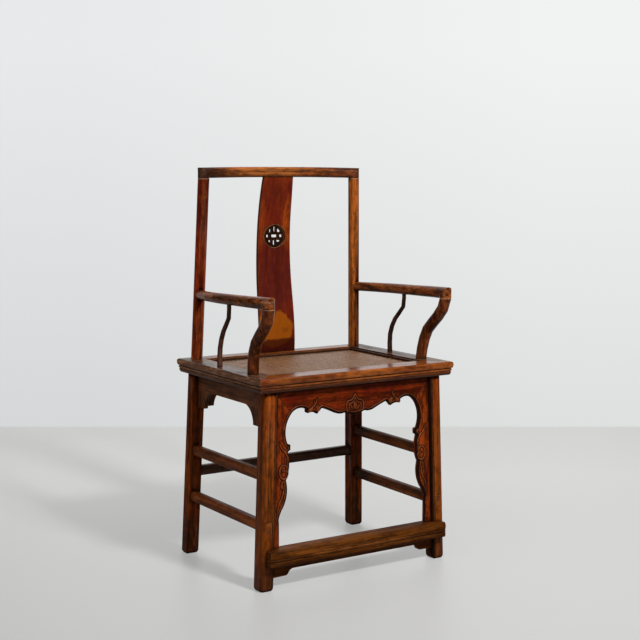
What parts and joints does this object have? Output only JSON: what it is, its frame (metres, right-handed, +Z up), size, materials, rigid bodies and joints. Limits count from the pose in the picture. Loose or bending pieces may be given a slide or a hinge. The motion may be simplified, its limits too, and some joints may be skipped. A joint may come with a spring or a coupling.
{
  "type": "official's hat armchair",
  "caption": "Jointed hardwood armchair with a bowed, pierced back splat, elbow-jointed crest and arms, goose-neck posts, cusped apron, foot rail and woven cane seat.",
  "frame": {"origin": "on the floor, under the middle of the chair's bounding box", "axes": "+Z up from the floor to the crest rail; the sitter faces -Y, so the back and its splat are at +Y; +X is to the right for someone who stands in front of the chair"},
  "size_m": [0.564, 0.444, 1.002],
  "materials": {
    "frame_wood": "old transparent lacquer over dark red-brown hardwood, satin to gloss, worn paler on edges",
    "crest_wood": "old transparent lacquer over orange-brown hardwood, satin",
    "splat_wood": "old transparent lacquer over deep red-brown figured hardwood, satin",
    "seat_frame_wood": "old transparent lacquer, glossy and worn along the front edge",
    "apron_wood": "old transparent lacquer, carved, with dark dirt in the cuts",
    "dark_wood": "old dark lacquer, satin",
    "batten_wood": "bare planed wood",
    "woven_cane": "finely woven split cane, worn grey-brown",
    "fibre_webbing": "laced plant-fibre webbing, matt"
  },
  "bodies": {
    "root": {"front_leg_left": "frame_wood", "front_leg_right": "frame_wood", "rear_leg_left": "frame_wood", "rear_leg_right": "frame_wood", "arm_left": "frame_wood", "arm_right": "frame_wood", "arm_post_left": "frame_wood", "arm_post_right": "frame_wood", "side_post_left": "frame_wood", "side_post_right": "frame_wood", "foot_rail": "frame_wood", "side_stretcher_upper_left": "frame_wood", "side_stretcher_upper_right": "frame_wood", "side_stretcher_lower_left": "frame_wood", "side_stretcher_lower_right": "frame_wood", "back_stretcher": "frame_wood", "crest_rail": "crest_wood", "back_splat": "splat_wood", "seat_rail_front": "seat_frame_wood", "seat_rail_back": "seat_frame_wood", "seat_rail_left": "seat_frame_wood", "seat_rail_right": "seat_frame_wood", "mat_strip_front": "seat_frame_wood", "mat_strip_back": "seat_frame_wood", "mat_strip_left": "seat_frame_wood", "mat_strip_right": "seat_frame_wood", "front_apron": "apron_wood", "front_spandrel_left": "apron_wood", "front_spandrel_right": "apron_wood", "foot_rail_apron": "apron_wood", "side_apron_left": "dark_wood", "side_apron_right": "dark_wood", "side_bracket_front_left": "dark_wood", "side_bracket_front_right": "dark_wood", "side_bracket_rear_left": "dark_wood", "side_bracket_rear_right": "dark_wood", "back_apron": "dark_wood", "back_bracket_left": "dark_wood", "back_bracket_right": "dark_wood", "seat_brace_left": "batten_wood", "seat_brace_right": "batten_wood", "seat_mat": "woven_cane", "seat_webbing": "fibre_webbing"}
  },
  "joints": []
}
